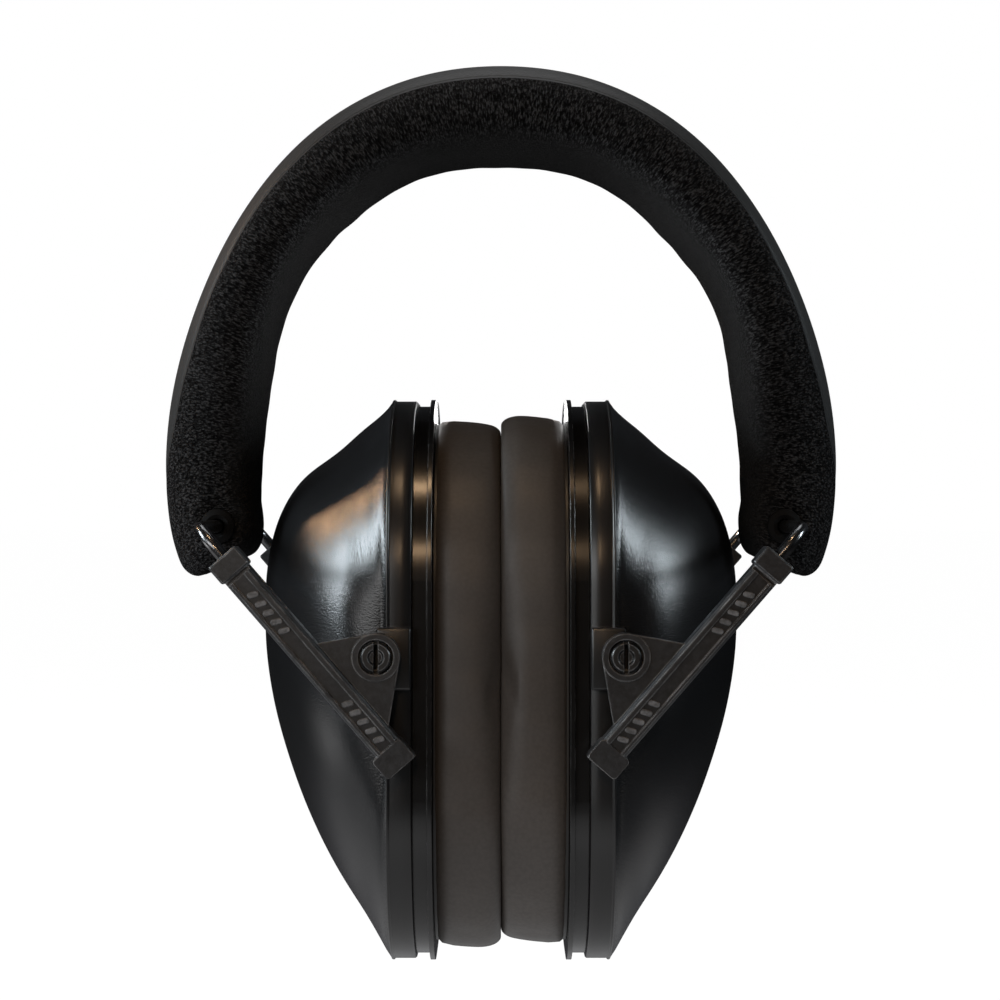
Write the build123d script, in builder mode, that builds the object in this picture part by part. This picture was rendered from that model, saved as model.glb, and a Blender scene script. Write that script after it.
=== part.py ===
from build123d import *
import os
from math import atan2, cos, hypot, sin

# ---------------------------------------------------------------------------
# Earmuff hearing protector: two cups joined by a padded spring headband.
# Millimetres. +X to the right, +Y to the rear, +Z up.
# Origin: bottom centre of the bounding box, where the two closed cups stand.
# The left side (-X) is modelled and mirrored in the YZ plane for the right.
# ---------------------------------------------------------------------------

os.makedirs("parts", exist_ok=True)

SIDES = (-1, 1)

# ---- hinge and pivot axes, both parallel to Y --------------------------------
hinge_x, hinge_z = -53.9, 83.6     # yoke wire axis in the band end
pin_x, pin_z = -22.2, 60.7         # cup tilt axis
stud_r = 2.2
pin_clear = 0.05

# ---- yoke wire ---------------------------------------------------------------
wire_slope = atan2(-0.755, 0.656)  # the legs run down and inwards
wire_x, wire_z = cos(wire_slope), sin(wire_slope)
wire_r = 1.2
wire_clear = 0.05
wire_bend_r = 4.8
arm_y = 45.0                       # distance of legs and arms from the middle
leg_end = 52.0                     # end of the legs, from the hinge axis


# ===========================================================================
# Shared helpers
# ===========================================================================
def save(part, name):
    part.label = name
    export_step(part, f"parts/{name}.step")


def mirrored(part, plane):
    with BuildPart() as copy:
        mirror(part, about=plane)
    return copy.part


def save_pair(part, name):
    """Save a left piece and its mirror image on the right."""
    save(part, f"left_{name}")
    save(mirrored(part, Plane.YZ), f"right_{name}")


def wire_point(distance, y):
    """Point at a distance from the hinge axis in the direction of the legs."""
    return hinge_x + distance * wire_x, y, hinge_z + distance * wire_z


# ===========================================================================
# Headband
# ===========================================================================
# stations of the left half, from the crown to the band end:
# outer crest distance from the middle, z; inner face distance, z; half width
band = [
    (0.00, 173.50, 0.00, 156.40, 23.0),
    (15.86, 171.48, 11.17, 155.44, 23.2),
    (30.48, 165.13, 21.87, 151.50, 23.8),
    (39.95, 157.80, 29.10, 146.20, 24.3),
    (50.00, 145.42, 37.63, 137.40, 24.5),
    (58.26, 129.45, 44.62, 123.90, 23.2),
    (64.19, 108.30, 47.46, 105.52, 18.6),
    (65.20, 96.40, 48.20, 96.00, 15.5),
    (64.90, 88.60, 48.40, 89.90, 15.1),
    (63.80, 81.20, 48.20, 85.00, 15.0),
    (61.90, 75.30, 48.00, 80.60, 15.0),
]
crown_drop = 5.2                   # fall of the outer face from crest to edge
cover_t = 1.4
cover_corner_r = 3.4
cover_end_r = 2.6                  # rounding around the closed end
cavity_corner_r = 2.2              # also the corners of the foam
foam_gap = 0.25
foam_edge_drop = 0.1               # extra fall of the foam edges
cavity_end_gap = cover_t + 0.1     # the cavity stops this far from the end
foam_end_gap = cover_t + 1.2
cut_station = (33.0, 163.45, 23.75, 150.30)  # cut across the cover, as in band
cut_half_gap = 0.08

# spring strip, half way through the padding; stations as in band, no width
strip_stations = [row[:4] for row in band[:7]] + [
    (65.15, 98.5, 48.15, 98.0),
    (65.1, 91.5, 48.4, 91.9),
]
strip_w, strip_t = 20.0, 0.8
strip_room_w, strip_room_t = strip_w + 0.5, strip_t + 0.3
strip_room_extra = 0.4             # length of the room beyond the strip end

# rivets through the strip end, parallel to X
rivet_x, rivet_y, rivet_z = -56.05, 5.0, 96.2
rivet_hole_x = -56.0               # middle of the holes in knuckle and foam
strip_hole_x = 56.6
strip_hole_r = 1.55
knuckle_hole_r = 1.5
rivet_recess_r, rivet_recess_h = 2.6, 4.0
rivet_recess_x = (-60.35, -51.75)  # outer and inner recess centres

# knuckle: barrel on the hinge axis, tongue up to the strip end
barrel_r, tongue_r = 3.2, 2.2
tongue_x, tongue_z = -56.7, 100.5
knuckle_half_w = 11.2
knuckle_room_barrel_r, knuckle_room_tongue_r = 4.2, 2.8
knuckle_room_half_w = 11.6

cross_bore_len = 60                # longer than the band is wide
cover_hole_r = 2.25
foam_hole_r = 2.6
foam_rivet_room_r, foam_rivet_room_h = 2.9, 7.6
hinge_location = Location((hinge_x, 0, hinge_z), (90, 0, 0))


def station_plane(crest_x, crest_z, inner_x, inner_z, shift=0.0):
    """Padding thickness and section plane across the left half of the band.

    Local x is Y, local y points outwards, and the normal and the shift run
    along the band towards the crown.
    """
    thickness = hypot(crest_x - inner_x, crest_z - inner_z)
    out_x = -(crest_x - inner_x) / thickness
    out_z = (crest_z - inner_z) / thickness
    plane = Plane(origin=(-inner_x + shift * out_z, 0, inner_z - shift * out_x),
                  x_dir=(0, 1, 0), z_dir=(out_z, 0, -out_x))
    return thickness, plane


def padding_loft(inset, edge_drop, corner_r, end_gap):
    """Left half of the padding form, inset on every face."""
    with BuildPart() as padding:
        for i, (*faces, half_width) in enumerate(band):
            shift = end_gap if i == len(band) - 1 else 0
            thickness, plane = station_plane(*faces, shift)
            side = half_width - inset
            edge = thickness - edge_drop
            with BuildSketch(plane) as section:
                with BuildLine():
                    Polyline((-side, edge), (-side, inset), (side, inset), (side, edge))
                    ThreePointArc((side, edge), (0, thickness - inset), (-side, edge))
                make_face()
                fillet(section.vertices(), radius=corner_r)
        loft()
    return padding.part


def strip_loft(width, thickness, end_extra):
    """Left half of a flat strip through the middle of the padding."""
    with BuildPart() as strip:
        for i, faces in enumerate(strip_stations):
            shift = -end_extra if i == len(strip_stations) - 1 else 0
            padding_t, plane = station_plane(*faces, shift)
            with BuildSketch(plane):
                with Locations((0, padding_t / 2)):
                    Rectangle(width, thickness)
        loft()
    return strip.part


# ---- cover: crown piece and two side pieces ----------------------------------
cover_form = padding_loft(0, crown_drop, cover_corner_r, 0)
cover_cavity = padding_loft(cover_t, crown_drop, cavity_corner_r, cavity_end_gap)
_, cut_plane = station_plane(*cut_station)

with BuildPart() as half_cover:
    add(cover_form)
    end_face = half_cover.faces().sort_by(Axis.Z)[0]
    fillet(end_face.edges(), radius=cover_end_r)
    add(cover_cavity, mode=Mode.SUBTRACT)

with BuildPart() as side_cover:
    add(half_cover.part)
    split(bisect_by=cut_plane.offset(-cut_half_gap), keep=Keep.BOTTOM)
    # holes for the two eyelets
    with Locations(hinge_location):
        Cylinder(radius=cover_hole_r, height=cross_bore_len, mode=Mode.SUBTRACT)
save(side_cover.part, "headband_cover_left")
save(mirrored(side_cover.part, Plane.YZ), "headband_cover_right")

with BuildPart() as crown_cover:
    add(half_cover.part)
    split(bisect_by=cut_plane.offset(cut_half_gap), keep=Keep.TOP)
    mirror(about=Plane.YZ)
save(crown_cover.part, "headband_cover_crown")

# ---- spring strip ------------------------------------------------------------
half_strip = strip_loft(strip_w, strip_t, 0)
strip_room = strip_loft(strip_room_w, strip_room_t, strip_room_extra)

with BuildPart() as band_spring:
    add(half_strip)
    mirror(about=Plane.YZ)
    for side in SIDES:
        with Locations(Location((side * strip_hole_x, rivet_y, rivet_z), (0, 90, 0)),
                       Location((side * strip_hole_x, -rivet_y, rivet_z), (0, 90, 0))):
            Cylinder(radius=strip_hole_r, height=8, mode=Mode.SUBTRACT)
save(band_spring.part, "band_spring")

# ---- foam core, with room for the strip and the hinge parts ------------------
foam_form = padding_loft(cover_t + foam_gap, crown_drop + foam_edge_drop,
                         cavity_corner_r, foam_end_gap)

with BuildPart() as headband_foam:
    add(foam_form)
    add(strip_room, mode=Mode.SUBTRACT)
    # clear the lower inner corner at the band end
    with Locations((-52.0, 0, 80.0)):
        Box(13.0, 60, 20.0, mode=Mode.SUBTRACT)
    # knuckle
    with BuildSketch(Plane.XZ):
        with Locations((hinge_x, hinge_z)):
            Circle(knuckle_room_barrel_r)
        with Locations((tongue_x, tongue_z)):
            Circle(knuckle_room_tongue_r)
        make_hull()
    extrude(amount=knuckle_room_half_w, both=True, mode=Mode.SUBTRACT)
    # rivet heads and wire
    for side in SIDES:
        with Locations(Location((rivet_hole_x, side * rivet_y, rivet_z), (0, 90, 0))):
            Cylinder(radius=foam_rivet_room_r, height=foam_rivet_room_h, mode=Mode.SUBTRACT)
    with Locations(hinge_location):
        Cylinder(radius=foam_hole_r, height=cross_bore_len, mode=Mode.SUBTRACT)
    mirror(about=Plane.YZ)
save(headband_foam.part, "headband_foam")

# ---- band-end knuckle: bored barrel with a tongue that grips the strip end ---
with BuildPart() as knuckle:
    with BuildSketch(Plane.XZ):
        with Locations((hinge_x, hinge_z)):
            Circle(barrel_r)
        with Locations((tongue_x, tongue_z)):
            Circle(tongue_r)
        make_hull()
    extrude(amount=knuckle_half_w, both=True)
    with Locations(hinge_location):
        Cylinder(radius=wire_r + wire_clear, height=40, mode=Mode.SUBTRACT)
    add(strip_room, mode=Mode.SUBTRACT)
    # rivet holes, recessed at both ends
    for side in SIDES:
        with Locations(Location((rivet_hole_x, side * rivet_y, rivet_z), (0, 90, 0))):
            Cylinder(radius=knuckle_hole_r, height=12, mode=Mode.SUBTRACT)
        with Locations(*[Location((x, side * rivet_y, rivet_z), (0, 90, 0))
                         for x in rivet_recess_x]):
            Cylinder(radius=rivet_recess_r, height=rivet_recess_h, mode=Mode.SUBTRACT)
save_pair(knuckle.part, "hinge_knuckle")

# ---- rivets ------------------------------------------------------------------
# half section: distance along the rivet from its middle, radius
rivet_outline = [
    (-3.15, 0), (-3.15, 1.7), (-2.9, 2.3), (-2.32, 2.3), (-2.32, 1.46),
    (2.32, 1.46), (2.32, 2.3), (2.9, 2.3), (3.15, 1.7), (3.15, 0),
]

with BuildPart() as rivets:
    for side in SIDES:
        rivet_centre = (rivet_x, side * rivet_y, rivet_z)
        with BuildSketch(Plane(origin=rivet_centre, x_dir=(1, 0, 0), z_dir=(0, -1, 0))):
            with BuildLine():
                Polyline(*rivet_outline, close=True)
            make_face()
        revolve(axis=Axis(rivet_centre, (1, 0, 0)))
save_pair(rivets.part, "knuckle_rivets")

# ---- eyelets where the wire leaves the cover, front and rear -----------------
# half section: distance from the XZ plane, radius about the hinge axis
eyelet_outline = [
    (12.4, 1.45), (16.4, 1.45), (16.7, 2.2), (16.3, 3.2),
    (15.5, 3.3), (15.5, 2.1), (12.4, 2.1),
]

with BuildPart() as eyelets:
    for side in SIDES:
        with BuildSketch(Plane(origin=(hinge_x, 0, hinge_z),
                               x_dir=(0, side, 0), z_dir=(1, 0, 0))):
            with BuildLine():
                Polyline(*eyelet_outline, close=True)
            make_face()
        revolve(axis=Axis((hinge_x, 0, hinge_z), (0, 1, 0)))
save_pair(eyelets.part, "eyelets")

# ===========================================================================
# Yoke wire and arms
# ===========================================================================
# ---- yoke wire: a U through the band end -------------------------------------
# local x is Y, local y runs down the legs
yoke_plane = Plane(origin=(hinge_x, 0, hinge_z), x_dir=(0, 1, 0), z_dir=(wire_z, 0, -wire_x))

with BuildPart() as yoke_wire:
    with BuildLine(yoke_plane) as yoke_path:
        FilletPolyline((-arm_y, leg_end), (-arm_y, 0), (arm_y, 0), (arm_y, leg_end),
                       radius=wire_bend_r)
    with BuildSketch(Plane(origin=yoke_path.line @ 0, z_dir=yoke_path.line % 0)):
        Circle(wire_r)
    sweep()
save_pair(yoke_wire.part, "yoke_wire")

# ---- friction sleeves on the wire ends ---------------------------------------
sleeve_r = 1.56
sleeve_from, sleeve_len = 46.5, 5.3    # start is measured from the hinge axis

with BuildPart() as wire_glides:
    for side in SIDES:
        with BuildSketch(Plane(origin=wire_point(sleeve_from, side * arm_y),
                               z_dir=(wire_x, 0, wire_z))):
            Circle(sleeve_r)
            Circle(wire_r + 0.02, mode=Mode.SUBTRACT)
        extrude(amount=sleeve_len)
save_pair(wire_glides.part, "wire_glides")

# ---- arm ---------------------------------------------------------------------
# Local x runs along the wire from the hinge axis, local y towards the pivot,
# and the normal points forwards, away from the cup.
arm_plane = Plane(origin=(hinge_x, -arm_y, hinge_z),
                  x_dir=(wire_x, 0, wire_z), z_dir=(0, -1, 0))
bar_from, bar_to = 6.7, 55.9
bar_len = bar_to - bar_from
bar_mid = (bar_from + bar_to) / 2
bar_w, bar_t = 5.3, 4.6
bar_edge_r = 0.9
pin_along = (pin_x - hinge_x) * wire_x + (pin_z - hinge_z) * wire_z
pin_off = (pin_x - hinge_x) * -wire_z + (pin_z - hinge_z) * wire_x

collar_len = 4.0
end_block_len = 4.4
boss_r = 4.25
boss_back, boss_t = -2.1, 3.9          # offset of the cup-side face, thickness
web_back, web_t = -1.2, 2.6
web_corner_r = 1.2
web_corners = ((29.8, 0.9), (48.6, 0.9))
# border strips on the bar face: local y, width, end radius
border_strips = ((1.55, 0.9, 0.4), (-1.75, 0.6, 0.29))
border_shortfall = 8.6                 # how much shorter they are than the bar
rib_starts = (15.5, 41.0)              # first rib of each group
rib_count, rib_pitch = 5, 2.1
rib_angle = -25
rib_y = -0.1
counterbore_r = 3.15
counterbore_floor = 0.45

with BuildPart() as front_arm:
    # bar
    with BuildSketch(arm_plane.offset(-bar_t / 2)):
        with Locations((bar_mid, 0)):
            Rectangle(bar_len, bar_w)
    extrude(amount=bar_t)
    fillet(front_arm.edges().filter_by(Axis((0, 0, 0), (wire_x, 0, wire_z))),
           radius=bar_edge_r)
    # collar at the upper end
    with BuildSketch(arm_plane.offset(-bar_t / 2 - 0.3)):
        with Locations((bar_from + collar_len / 2, 0)):
            RectangleRounded(collar_len, bar_w + 0.9, 0.5)
    extrude(amount=bar_t + 0.7)
    # end block at the lower end, a little proud of the bar
    with BuildSketch(arm_plane.offset(-bar_t / 2 - 0.2)):
        with Locations((bar_to - end_block_len / 2, -0.45)):
            RectangleRounded(end_block_len, bar_w + 1.2, 0.8)
    extrude(amount=bar_t + 0.5)
    # web from the bar to the pivot
    with BuildSketch(arm_plane.offset(web_back)):
        with Locations((pin_along, pin_off)):
            Circle(boss_r)
        for corner in web_corners:
            with Locations(corner):
                Circle(web_corner_r)
        make_hull()
    extrude(amount=web_t)
    # pivot boss, chamfered on its front face
    with BuildSketch(arm_plane.offset(boss_back)):
        with Locations((pin_along, pin_off)):
            Circle(boss_r)
    extrude(amount=boss_t)
    chamfer(front_arm.faces().filter_by(Axis.Y).sort_by(Axis.Y)[0].edges()
            .filter_by(GeomType.CIRCLE), length=0.3)
    # raised border strips along both sides of the bar face
    with BuildSketch(arm_plane.offset(bar_t / 2 - 0.4)):
        for strip_y, border_w, border_r in border_strips:
            with Locations((bar_mid, strip_y)):
                RectangleRounded(bar_len - border_shortfall, border_w, border_r)
    extrude(amount=0.8)
    # two groups of slanted ribs on the bar face
    with BuildSketch(arm_plane.offset(bar_t / 2 - 0.3)):
        for rib_start in rib_starts:
            with Locations(*[Location((rib_start + rib_pitch * k, rib_y), rib_angle)
                             for k in range(rib_count)]):
                RectangleRounded(0.8, 2.0, 0.35)
    extrude(amount=0.6)
    # groove behind the collar
    with BuildSketch(arm_plane.offset(bar_t / 2 - 0.45)):
        with Locations((bar_from + 4.5, 0)):
            Rectangle(0.6, bar_w + 2)
    extrude(amount=2.0, mode=Mode.SUBTRACT)
    # wire bore: close at the collar, wider behind it for the friction sleeve
    with BuildSketch(Plane(origin=wire_point(5, -arm_y), z_dir=(wire_x, 0, wire_z))):
        Circle(wire_r + wire_clear)
    extrude(amount=30, mode=Mode.SUBTRACT)
    with BuildSketch(Plane(origin=wire_point(bar_from + collar_len, -arm_y),
                           z_dir=(wire_x, 0, wire_z))):
        Circle(sleeve_r + wire_clear)
    extrude(amount=42.8, mode=Mode.SUBTRACT)
    # pivot hole and counterbore
    with BuildSketch(arm_plane.offset(-3)):
        with Locations((pin_along, pin_off)):
            Circle(stud_r + pin_clear)
    extrude(amount=6, mode=Mode.SUBTRACT)
    with BuildSketch(arm_plane.offset(counterbore_floor)):
        with Locations((pin_along, pin_off)):
            Circle(counterbore_r)
    extrude(amount=4, mode=Mode.SUBTRACT)
save_pair(front_arm.part, "front_arm")
save_pair(mirrored(front_arm.part, Plane.XZ), "rear_arm")

# ===========================================================================
# Cup
# ===========================================================================
# Outlines are (depth front to rear, height, corner radius).
# Names starting with x_ are distances from the middle plane.
cup_outline = (80.0, 108.0, 34.0)      # flange
cup_zc = cup_outline[1] / 2
cushion_outline = (74.0, 102.0, 31.0)
ear_outline = (39.0, 67.0, 17.0)       # ear opening of the cushion
cushion_zc = 53.5

x_cushion_face = 0.4                   # sealing face of the cushion
x_cushion_back = 12.4
x_lip = 12.5                           # inner face of the baseplate
lip_t = 0.9
x_rim = 16.0                           # joint between baseplate and shell
x_bead = 20.3                          # bead between rim band and dome
x_dome = 20.9                          # start of the dome


def cup_plane(x):
    """Section plane of the left cup: local x is Y, local y down, normal outwards."""
    return Plane(origin=(-x, 0, 0), x_dir=(0, 1, 0), z_dir=(-1, 0, 0))


def inset(outline, margin):
    """Outline moved inwards by the margin, or outwards if it is negative."""
    depth, height, radius = outline
    return depth - 2 * margin, height - 2 * margin, radius - margin


# ---- split snap studs, front and rear: ring head, slotted shank --------------
# half section of the front stud: distance from the XZ plane, radius
stud_outline = [
    (36.9, 0), (36.9, stud_r - 0.3), (37.2, stud_r), (45.47, stud_r), (45.47, 2.85),
    (46.5, 2.85), (46.95, 2.4), (46.95, 1.5), (46.4, 1.1), (46.4, 0),
]
slot_w = 0.8
slot_floor_y = 41.0

with BuildPart() as pivot_studs:
    with BuildSketch(Plane(origin=(pin_x, 0, pin_z), x_dir=(0, -1, 0), z_dir=(1, 0, 0))):
        with BuildLine():
            Polyline(*stud_outline, close=True)
        make_face()
    revolve(axis=Axis((pin_x, 0, pin_z), (0, 1, 0)))
    with BuildSketch(Plane.XZ.offset(slot_floor_y)):
        with Locations((pin_x, pin_z)):
            Rectangle(slot_w, 8)
    extrude(amount=8, mode=Mode.SUBTRACT)
    mirror(about=Plane.XZ)
save_pair(pivot_studs.part, "pivot_studs")

# ---- shell: rim band, bead and dome ------------------------------------------
# dome sections: distance from the middle plane, low z, high z, half depth
dome = [
    (x_dome, 0.4, 107.3, 39.6),
    (23.0, 3.4, 105.3, 38.8),
    (26.0, 7.8, 103.3, 37.3),
    (30.0, 13.8, 99.6, 34.9),
    (34.0, 20.8, 96.5, 31.9),
    (38.0, 29.4, 93.6, 28.2),
    (41.0, 37.5, 90.0, 24.2),
    (43.5, 45.6, 85.2, 19.2),
    (45.2, 53.6, 79.3, 13.4),
    (46.0, 59.6, 74.0, 7.6),
    (46.3, 64.0, 69.6, 3.0),
]
dome_roundness = 0.86                  # corner radius over the smaller half size
wall = 2.0                             # inset of the hollow in each section
hollow_shift = 2.1                     # the hollow lies this much further in
rim_gap = 0.08                         # gap between shell and baseplate
rim_wall = 2.8
block_y_in, block_y_out = 35.5, 42.4   # pivot blocks, from the middle
block_x, block_z = -19.3, 60.1
block_boss_r = 4.0


def dome_loft(sections, margin, shift):
    with BuildPart() as form:
        for x, low_z, high_z, half_depth in sections:
            height = high_z - low_z - 2 * margin
            half = half_depth - margin
            radius = min(height / 2, half) * dome_roundness
            with BuildSketch(cup_plane(x - shift)):
                with Locations((0, -(low_z + high_z) / 2)):
                    RectangleRounded(2 * half, height, radius)
        loft()
    return form.part


dome_form = dome_loft(dome, 0, 0)
dome_hollow = dome_loft(dome[:-1], wall, hollow_shift)

with BuildPart() as shell:
    add(dome_form)
    # rim band
    with BuildSketch(cup_plane(x_rim + rim_gap)):
        with Locations((0, -cup_zc)):
            RectangleRounded(*inset(cup_outline, 0.3))
    extrude(amount=x_bead - x_rim - rim_gap)
    # bead line between band and dome
    with BuildSketch(cup_plane(x_bead)):
        with Locations((0, -cup_zc)):
            RectangleRounded(*cup_outline)
    extrude(amount=x_dome - x_bead)
    # pivot blocks on the rim, front then rear; both are extruded forwards
    for block_start in (block_y_in, -block_y_out):
        with BuildSketch(Plane.XZ.offset(block_start)):
            with Locations((block_x, block_z)):
                RectangleRounded(6.2, 11.2, 0.8)
            with Locations((pin_x, pin_z)):
                Circle(block_boss_r)
        extrude(amount=block_y_out - block_y_in)
    # hollow of the dome, then of the rim, with a small overlap
    add(dome_hollow, mode=Mode.SUBTRACT)
    with BuildSketch(cup_plane(x_rim - 1)):
        with Locations((0, -cup_zc)):
            RectangleRounded(*inset(cup_outline, rim_wall))
    extrude(amount=x_dome - hollow_shift - x_rim + 1.01, mode=Mode.SUBTRACT)
    # stud sockets
    with Locations(Location((pin_x, 0, pin_z), (90, 0, 0))):
        Cylinder(radius=stud_r + pin_clear, height=120, mode=Mode.SUBTRACT)
save_pair(shell.part, "shell")

# ---- baseplate ---------------------------------------------------------------
# layers: start, inset from the flange outline, thickness, mode
baseplate_layers = [
    (x_lip, 0, lip_t, Mode.ADD),                            # lip
    (x_lip + lip_t, 1.3, x_rim - x_lip - lip_t, Mode.ADD),  # groove under the lip
    (x_rim, 2.95, 2.5, Mode.ADD),                           # spigot inside the shell
    (x_lip + 2.4, 4.8, 6, Mode.SUBTRACT),                   # hollow of the spigot
]
plate_opening_margin = 2.5             # larger than the ear opening, all round

with BuildPart() as baseplate:
    for start, margin, thickness, mode in baseplate_layers:
        with BuildSketch(cup_plane(start)):
            with Locations((0, -cup_zc)):
                RectangleRounded(*inset(cup_outline, margin))
        extrude(amount=thickness, mode=mode)
    # ear opening
    with BuildSketch(cup_plane(x_lip - 1)):
        with Locations((0, -cushion_zc)):
            RectangleRounded(*inset(ear_outline, -plate_opening_margin))
    extrude(amount=10, mode=Mode.SUBTRACT)
save_pair(baseplate.part, "baseplate")

# ---- cushion -----------------------------------------------------------------
skin = 1.1                             # thickness of the cushion skin
foam_margin = skin + 0.12
x_foam_back = 11.1
skin_edge_r, foam_edge_r = 4.6, 3.5


def crowned_ring(margin, depth, edge_r):
    """Cushion ring inset by a margin, with rounded edges on the sealing side."""
    with BuildPart() as ring:
        with BuildSketch(cup_plane(x_cushion_face + margin)):
            with Locations((0, -cushion_zc)):
                RectangleRounded(*inset(cushion_outline, margin))
                RectangleRounded(*inset(ear_outline, -margin), mode=Mode.SUBTRACT)
        extrude(amount=depth)
        fillet(ring.faces().sort_by(Axis.X)[-1].edges(), radius=edge_r)
    return ring.part


# skin, open at the back
cushion_form = crowned_ring(0, x_cushion_back - x_cushion_face, skin_edge_r)
cushion_room = crowned_ring(skin, 14, foam_edge_r)

with BuildPart() as cushion_cover:
    add(cushion_form)
    add(cushion_room, mode=Mode.SUBTRACT)
save_pair(cushion_cover.part, "cushion_cover")

cushion_foam = crowned_ring(foam_margin, x_foam_back - x_cushion_face - foam_margin,
                            foam_edge_r)
save_pair(cushion_foam, "cushion_foam")

# back ring with the collar that snaps into the baseplate
x_ring = 11.2
ring_margin = 1.3                      # from both outlines of the cushion
collar_margin = 2.35                   # outside of the collar, from the ear opening
ring_opening = inset(ear_outline, -ring_margin)

with BuildPart() as cushion_ring:
    with BuildSketch(cup_plane(x_ring)):
        with Locations((0, -cushion_zc)):
            RectangleRounded(*inset(cushion_outline, ring_margin))
            RectangleRounded(*ring_opening, mode=Mode.SUBTRACT)
    extrude(amount=x_cushion_back - x_ring)
    with BuildSketch(cup_plane(x_cushion_back)):
        with Locations((0, -cushion_zc)):
            RectangleRounded(*inset(ear_outline, -collar_margin))
            RectangleRounded(*ring_opening, mode=Mode.SUBTRACT)
    extrude(amount=3.4)
save_pair(cushion_ring.part, "cushion_ring")

# ---- acoustic foam in the cup ------------------------------------------------
# sections: distance from the middle plane, low z, high z, half depth
insert_sections = [
    (18.9, 6.5, 101.5, 35.0),
    (23.0, 10.5, 99.5, 32.5),
    (28.5, 18.5, 95.0, 27.5),
]
insert_roundness = 0.82                # corner radius over the half depth

with BuildPart() as foam_insert:
    for x, low_z, high_z, half_depth in insert_sections:
        with BuildSketch(cup_plane(x)):
            with Locations((0, -(low_z + high_z) / 2)):
                RectangleRounded(2 * half_depth, high_z - low_z,
                                 half_depth * insert_roundness)
    loft()
save_pair(foam_insert.part, "foam_insert")
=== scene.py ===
# Over-ear headphones on a pale floor. The band arches over the cups in the XZ plane, crown up
# (+Z); the left cup is at -X, the front faces -Y, and the two cushions meet in the plane x = 0.
# Dimensions are millimetres unless said otherwise; MM turns them into scene metres.
import math
import bpy
import bmesh
import numpy as np
from mathutils import Matrix, Vector


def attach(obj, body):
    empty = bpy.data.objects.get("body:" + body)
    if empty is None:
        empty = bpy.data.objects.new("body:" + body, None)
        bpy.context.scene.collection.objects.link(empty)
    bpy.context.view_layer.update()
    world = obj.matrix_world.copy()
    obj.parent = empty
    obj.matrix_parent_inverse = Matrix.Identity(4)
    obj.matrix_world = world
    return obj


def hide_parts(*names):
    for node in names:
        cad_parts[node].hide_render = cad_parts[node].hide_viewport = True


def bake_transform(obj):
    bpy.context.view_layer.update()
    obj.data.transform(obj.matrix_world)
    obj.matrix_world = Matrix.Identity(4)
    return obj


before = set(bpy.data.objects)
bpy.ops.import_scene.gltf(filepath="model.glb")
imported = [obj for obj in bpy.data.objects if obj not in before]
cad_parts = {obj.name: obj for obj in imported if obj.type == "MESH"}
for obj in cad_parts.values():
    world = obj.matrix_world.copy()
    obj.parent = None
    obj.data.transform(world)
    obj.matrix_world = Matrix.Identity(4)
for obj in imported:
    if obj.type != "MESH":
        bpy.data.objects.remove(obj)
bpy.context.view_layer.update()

MM = 0.001
SIDES = (("left", -1.0), ("right", 1.0))    # side name, sign of x
PIVOT_X, PIVOT_Z = 53.9, 83.6               # wire eyelets, where the arms start


# ---------------------------------------------------------------- mesh tools
def new_mesh(name, verts, faces, smooth=True):
    """linked object from vertices in metres"""
    mesh = bpy.data.meshes.new(name)
    mesh.from_pydata([tuple(v) for v in verts], [], [tuple(f) for f in faces])
    mesh.validate()
    mesh.update()
    if smooth:
        smooth_faces(mesh)
    return link_object(name, mesh)


def link_object(name, data):
    ob = bpy.data.objects.new(name, data)
    bpy.context.scene.collection.objects.link(ob)
    return ob


def smooth_faces(mesh):
    mesh.polygons.foreach_set("use_smooth", [True] * len(mesh.polygons))


def fix_normals(ob):
    bm = bmesh.new()
    bm.from_mesh(ob.data)
    bmesh.ops.recalc_face_normals(bm, faces=bm.faces)
    bm.to_mesh(ob.data)
    bm.free()
    ob.data.update()


def vertex_normals(ob):
    bm = bmesh.new()
    bm.from_mesh(ob.data)
    bm.normal_update()
    normals = np.array([v.normal[:] for v in bm.verts])
    bm.free()
    return normals


def rings_mesh(name, rings, cap_start=True, loop=False):
    """skin over (count, 3) rings; the ends get a fan, or join up when loop is set"""
    count = len(rings[0])
    verts = [v * MM for ring in rings for v in ring]
    faces = []
    n = len(rings)
    for i in range(n if loop else n - 1):
        a, b = i * count, ((i + 1) % n) * count
        for j in range(count):
            k = (j + 1) % count
            faces.append((a + j, a + k, b + k, b + j))
    if cap_start and not loop:
        centre = len(verts)
        verts.append(rings[0].mean(0) * MM)
        faces += [(centre, (j + 1) % count, j) for j in range(count)]
    if not loop:
        centre = len(verts)
        verts.append(rings[-1].mean(0) * MM)
        last = (n - 1) * count
        faces += [(centre, last + j, last + (j + 1) % count) for j in range(count)]
    ob = new_mesh(name, verts, faces)
    fix_normals(ob)
    return ob


def spline(knots, values, query):
    """natural cubic spline through rows of values, evaluated at query"""
    n = len(knots)
    step = np.diff(knots)
    system = np.zeros((n, n))
    rhs = np.zeros(values.shape)
    system[0, 0] = system[-1, -1] = 1
    for i in range(1, n - 1):
        system[i, i - 1:i + 2] = step[i - 1], 2 * (step[i - 1] + step[i]), step[i]
        rhs[i] = 3 * ((values[i + 1] - values[i]) / step[i]
                      - (values[i] - values[i - 1]) / step[i - 1])
    curve = np.linalg.solve(system, rhs)
    i = np.clip(np.searchsorted(knots, query) - 1, 0, n - 2)
    offset = (query - knots[i])[:, None]
    width = step[i][:, None]
    slope = (values[i + 1] - values[i]) / width - width * (2 * curve[i] + curve[i + 1]) / 3
    return (values[i] + slope * offset + curve[i] * offset ** 2
            + (curve[i + 1] - curve[i]) / (3 * width) * offset ** 3)


def path_length(points):
    """running length along a polyline, from 0"""
    return np.r_[0, np.cumsum(np.linalg.norm(np.diff(points, axis=0), axis=1))]


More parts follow.
